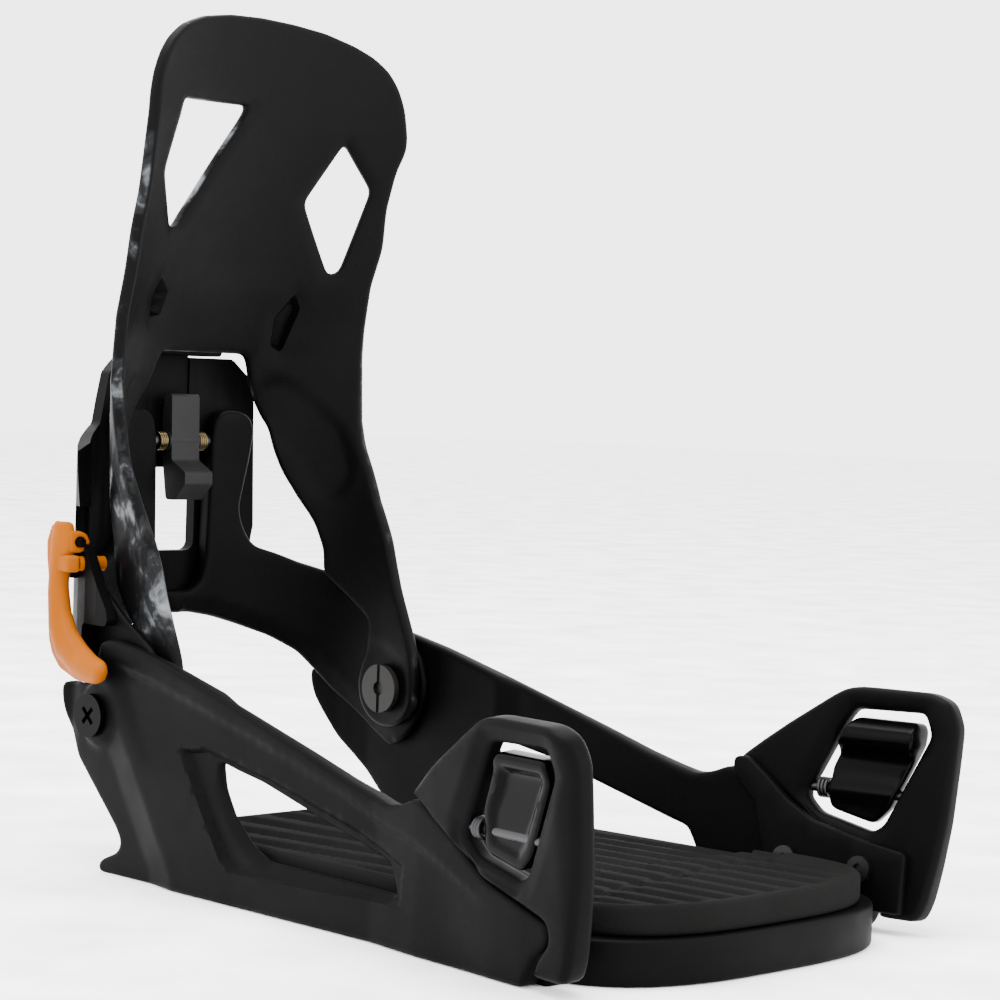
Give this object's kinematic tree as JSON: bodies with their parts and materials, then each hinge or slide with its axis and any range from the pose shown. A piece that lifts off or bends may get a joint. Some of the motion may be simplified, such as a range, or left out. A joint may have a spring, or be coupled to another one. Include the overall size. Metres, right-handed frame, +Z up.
{
  "type": "snowboard binding",
  "caption": "Strapless step-in snowboard binding for a right foot: slotted disc base, toe catches, heel hoop and latch, orange release lever, folding highback.",
  "frame": {"origin": "centre of the mounting disc on the plane of the board", "axes": "+Z up from the board, +Y towards the heel, +X towards the inner side of the right foot"},
  "size_m": [0.1598, 0.2724, 0.2577],
  "materials": {
    "base_plastic": "fine moulded grain",
    "hoop_plastic": "fine moulded grain",
    "highback_plastic": "black inside, with a grey and white marbled print on the outside",
    "footbed_foam": "charcoal foam with moulded ribs",
    "gloss_black": "glossy",
    "orange_plastic": "satin orange",
    "steel": "satin",
    "latch_metal": "dark sintered steel",
    "bush_metal": "plain bearing bronze",
    "pivot_metal": "dark grey-brown anodised",
    "spring_gold": "passivated spring wire"
  },
  "bodies": {
    "chassis": {"baseplate": "base_plastic", "toe_ramp": "base_plastic", "footbed_front": "footbed_foam", "footbed_rear": "footbed_foam", "toe_hook_lateral": "base_plastic", "toe_hook_medial": "base_plastic", "catch_pin_lateral": "steel", "catch_pin_medial": "steel", "catch_spring_lateral": "steel", "catch_spring_medial": "steel", "hook_screws": "steel", "heel_hoop": "hoop_plastic", "hoop_screws": "gloss_black", "pivot_pin_lateral": "pivot_metal", "pivot_pin_medial": "pivot_metal", "latch_tower": "hoop_plastic", "tower_screws": "steel", "latch_pin": "steel", "latch_spring": "spring_gold", "lever_pin": "gloss_black", "lean_axle": "steel"},
    "disc": {"mounting_disc": "base_plastic"},
    "catch_lateral": {"toe_catch_lateral": "gloss_black"},
    "catch_medial": {"toe_catch_medial": "gloss_black"},
    "back": {"highback": "highback_plastic", "pivot_bushes": "bush_metal"},
    "latch": {"heel_latch": "latch_metal"},
    "lever": {"release_lever": "orange_plastic"},
    "link": {"release_link": "orange_plastic"},
    "lean_stop": {"lean_block": "hoop_plastic"},
    "dial": {"lean_dial": "gloss_black"}
  },
  "joints": [
    {"name": "highback_fold", "type": "hinge", "parent": "chassis", "child": "back", "pos_m": [0, 0.102, 0.051], "axis": [1, 0, 0], "range_deg": [0, 80]},
    {"name": "toe_catch_lateral_swing", "type": "hinge", "parent": "chassis", "child": "catch_lateral", "pos_m": [-0.06942, -0.06964, 0.03721], "axis": [-0.1392, -0.9903, 0], "range_deg": [0, 12], "stiffness_Nm_per_rad": 0.5, "springref_deg": -5.73},
    {"name": "toe_catch_medial_swing", "type": "hinge", "parent": "chassis", "child": "catch_medial", "pos_m": [0.06942, -0.06964, 0.03721], "axis": [-0.1392, 0.9903, 0], "range_deg": [0, 12], "stiffness_Nm_per_rad": 0.5, "springref_deg": -5.73},
    {"name": "release_lever_swing", "type": "hinge", "parent": "chassis", "child": "lever", "pos_m": [-0.05366, 0.13595, 0.097], "axis": [0.1736, 0.9848, 0], "range_deg": [0, 40], "stiffness_Nm_per_rad": 0.4, "springref_deg": -11.46},
    {"name": "release_link_slide", "type": "slide", "parent": "chassis", "child": "link", "axis": [-0.9848, 0.1736, 0], "range_m": [0, 0.0037]},
    {"name": "heel_latch_swing", "type": "hinge", "parent": "chassis", "child": "latch", "pos_m": [0, 0.1524, 0.127], "axis": [1, 0, 0], "range_deg": [0, 18]},
    {"name": "lean_dial_turn", "type": "hinge", "parent": "chassis", "child": "dial", "pos_m": [0, 0.1665, 0.1275], "axis": [0, 1, 0], "range_deg": [0, 180]},
    {"name": "lean_stop_slide", "type": "slide", "parent": "chassis", "child": "lean_stop", "axis": [0, 0, 1], "range_m": [0, 0.008]},
    {"name": "mounting_disc_turn", "type": "hinge", "parent": "chassis", "child": "disc", "pos_m": [0, 0, 0.003], "axis": [0, 0, 1], "range_deg": [-30, 30]}
  ],
  "couplings": [
    {"joint": "release_link_slide", "follows": "release_lever_swing", "m_per_rad": 0.0052},
    {"joint": "heel_latch_swing", "follows": "release_lever_swing", "ratio": 0.45},
    {"joint": "lean_dial_turn", "follows": "lean_stop_slide", "rad_per_m": 392}
  ]
}
